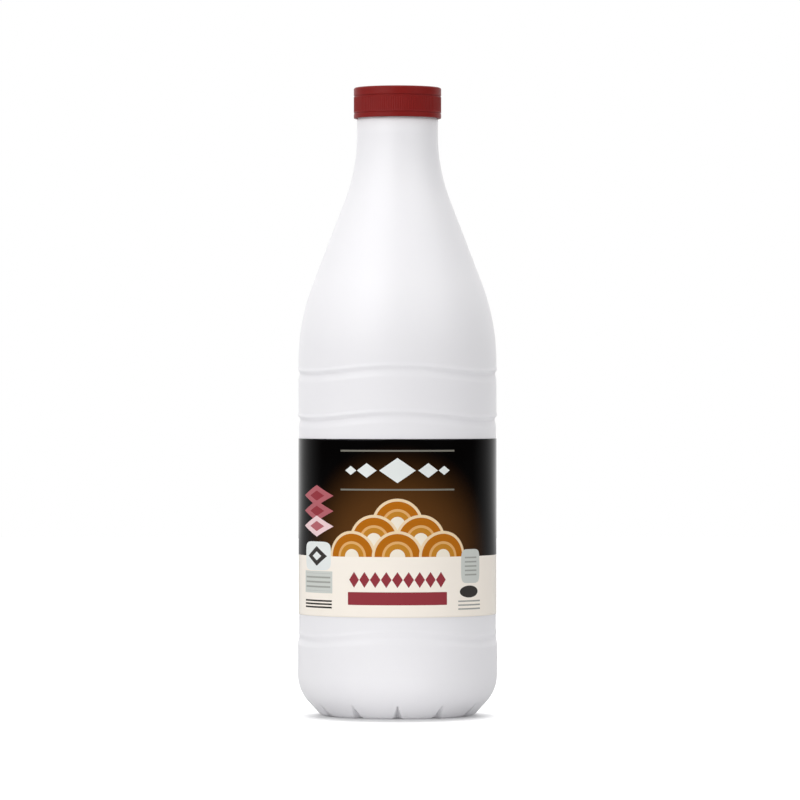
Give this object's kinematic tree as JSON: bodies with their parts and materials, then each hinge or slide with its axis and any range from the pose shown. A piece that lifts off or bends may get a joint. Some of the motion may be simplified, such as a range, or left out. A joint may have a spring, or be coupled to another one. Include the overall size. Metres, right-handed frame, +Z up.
{
  "type": "plastic milk bottle",
  "caption": "Tall round bottle of opaque white plastic with a sloping shoulder, moulded wavy rings, a notched foot, a red screw cap and a printed wrap label; full and shut.",
  "frame": {"origin": "centre of the foot circle, on the surface the bottle stands on", "axes": "+Z up along the bottle's axis; -Y towards the front of the label; +X to the right as seen from the front"},
  "size_m": [0.094, 0.094, 0.2952],
  "materials": {
    "white_plastic": "blow-moulded, satin",
    "red_plastic": "injection-moulded, semi-matt",
    "printed_film": "printed plastic film, satin gloss"
  },
  "bodies": {
    "root": {"bottle": "white_plastic", "cap": "red_plastic", "label": "printed_film"}
  },
  "joints": []
}
